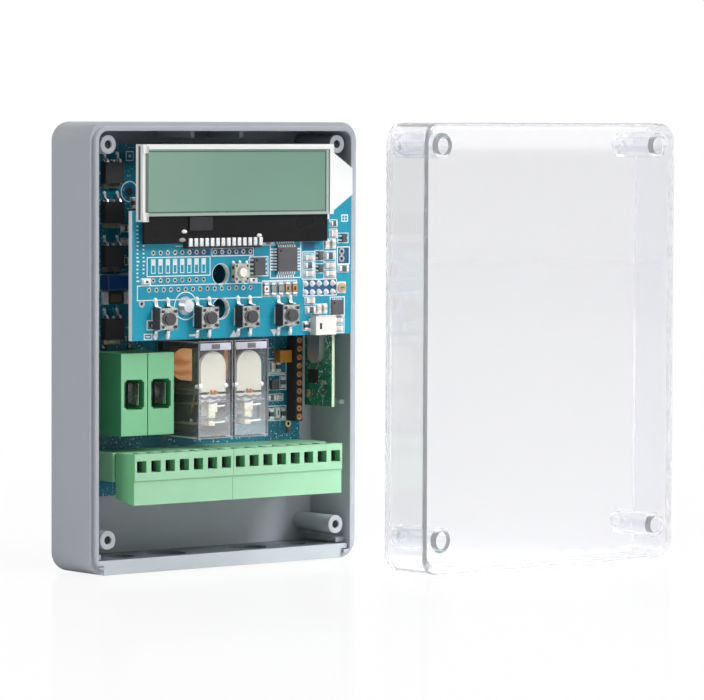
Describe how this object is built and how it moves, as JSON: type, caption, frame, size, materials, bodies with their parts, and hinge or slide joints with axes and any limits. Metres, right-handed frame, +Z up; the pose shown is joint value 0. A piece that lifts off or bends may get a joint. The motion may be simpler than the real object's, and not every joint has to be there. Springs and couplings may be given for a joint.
{
  "type": "gate motor control board",
  "caption": "Wall box with a gate motor control board, display, push keys, relays, pluggable screw terminals and a clear cover set beside it.",
  "frame": {"origin": "centre of the base's flat back face, against the wall", "axes": "+X to the right and +Z up as seen from the front, +Y out of the back face towards the wall"},
  "size_m": [0.1705, 0.0775, 0.1274],
  "materials": {
    "housing": "fine matte",
    "clear_cover": "clear polycarbonate",
    "main_board": "dark petrol solder mask",
    "display_board": "blue-green solder mask",
    "plug": "satin",
    "terminal": "satin",
    "black_plastic": "matte",
    "ivory_plastic": "satin",
    "tin_metal": "tinned",
    "nickel_metal": "nickel plated",
    "gold_contact": "gold plated",
    "copper_wire": "enamelled winding",
    "relay_case": "clear, slightly smoked",
    "relay_base": "matte",
    "armature": "cream plated",
    "iron": "plated",
    "lcd_glass": "polarised",
    "light_guide": "frosted",
    "blue_case": "gloss",
    "resistor_body": "matte",
    "orange_case": "satin",
    "crystal_can": "satin",
    "module_board": "green solder mask",
    "can_sleeve": "sleeved"
  },
  "bodies": {
    "housing": {"base_housing": "housing", "main_board": "main_board", "display_board": "display_board", "display_standoffs": "nickel_metal", "display_screws": "nickel_metal", "board_link_socket": "black_plastic", "board_link_pins": "gold_contact", "lcd_light_guide": "light_guide", "lcd_rear_glass": "lcd_glass", "lcd_front_glass": "lcd_glass", "lcd_driver_chip": "black_plastic", "lcd_pins": "tin_metal", "switch_bodies": "black_plastic", "switch_metal": "nickel_metal", "reset_switch": "ivory_plastic", "display_chips": "black_plastic", "usb_socket": "nickel_metal", "display_resistors": "resistor_body", "power_transistors": "black_plastic", "transistor_metal": "tin_metal", "blue_capacitor": "blue_case", "shunt_resistor": "resistor_body", "tantalum_capacitor": "orange_case", "smoothing_capacitor": "can_sleeve", "main_board_chips": "black_plastic", "socket_strip": "black_plastic", "socket_contacts": "gold_contact", "receiver_board": "module_board", "receiver_crystal": "crystal_can", "receiver_parts": "gold_contact", "power_terminal_left": "terminal", "power_terminal_right": "terminal", "power_terminal_metal": "tin_metal", "terminal_header": "terminal", "header_pins": "tin_metal", "relay_case_left": "relay_case", "relay_base_left": "relay_base", "relay_yoke_left": "iron", "relay_bobbin_left": "ivory_plastic", "relay_coil_left": "copper_wire", "relay_contacts_left": "gold_contact", "relay_case_right": "relay_case", "relay_base_right": "relay_base", "relay_yoke_right": "iron", "relay_bobbin_right": "ivory_plastic", "relay_coil_right": "copper_wire", "relay_contacts_right": "gold_contact"},
    "cable_plate": {"cable_entry_plate": "housing"},
    "cover": {"cover": "clear_cover"},
    "plug_left": {"plug_left": "plug", "plug_left_clamps": "tin_metal"},
    "plug_right": {"plug_right": "plug", "plug_right_clamps": "tin_metal"},
    "armature_left": {"relay_armature_left": "armature"},
    "armature_right": {"relay_armature_right": "armature"},
    "reset_button": {"reset_plunger": "ivory_plastic"},
    "key_1": {"key_plunger_1": "black_plastic"},
    "key_2": {"key_plunger_2": "black_plastic"},
    "key_3": {"key_plunger_3": "black_plastic"},
    "key_4": {"key_plunger_4": "black_plastic"}
  },
  "joints": [
    {"name": "cover_slide", "type": "slide", "parent": "housing", "child": "cover", "axis": [-0.9233, 0.3842, 0], "range_m": [0, 0.08069]},
    {"name": "cable_plate_slide", "type": "slide", "parent": "housing", "child": "cable_plate", "axis": [0, -1, 0], "range_m": [0, 0.0085]},
    {"name": "plug_left_slide", "type": "slide", "parent": "housing", "child": "plug_left", "axis": [0, -1, 0], "range_m": [0, 0.01]},
    {"name": "plug_right_slide", "type": "slide", "parent": "housing", "child": "plug_right", "axis": [0, -1, 0], "range_m": [0, 0.01]},
    {"name": "armature_left_hinge", "type": "hinge", "parent": "housing", "child": "armature_left", "pos_m": [-0.0081, -0.0241, -0.01135], "axis": [1, 0, 0], "range_deg": [-2.8, 0], "stiffness_Nm_per_rad": 0.02, "springref_deg": 2.86},
    {"name": "armature_right_hinge", "type": "hinge", "parent": "housing", "child": "armature_right", "pos_m": [0.0048, -0.0241, -0.01135], "axis": [1, 0, 0], "range_deg": [-2.8, 0], "stiffness_Nm_per_rad": 0.02, "springref_deg": 2.86},
    {"name": "key_1_press", "type": "slide", "parent": "housing", "child": "key_1", "axis": [0, 1, 0], "range_m": [0, 0.00025], "stiffness_N_per_m": 3000, "springref_m": -0.0002},
    {"name": "key_2_press", "type": "slide", "parent": "housing", "child": "key_2", "axis": [0, 1, 0], "range_m": [0, 0.00025], "stiffness_N_per_m": 3000, "springref_m": -0.0002},
    {"name": "key_3_press", "type": "slide", "parent": "housing", "child": "key_3", "axis": [0, 1, 0], "range_m": [0, 0.00025], "stiffness_N_per_m": 3000, "springref_m": -0.0002},
    {"name": "key_4_press", "type": "slide", "parent": "housing", "child": "key_4", "axis": [0, 1, 0], "range_m": [0, 0.00025], "stiffness_N_per_m": 3000, "springref_m": -0.0002},
    {"name": "reset_press", "type": "slide", "parent": "housing", "child": "reset_button", "axis": [0, 1, 0], "range_m": [0, 0.00025], "stiffness_N_per_m": 3000, "springref_m": -0.0002}
  ]
}
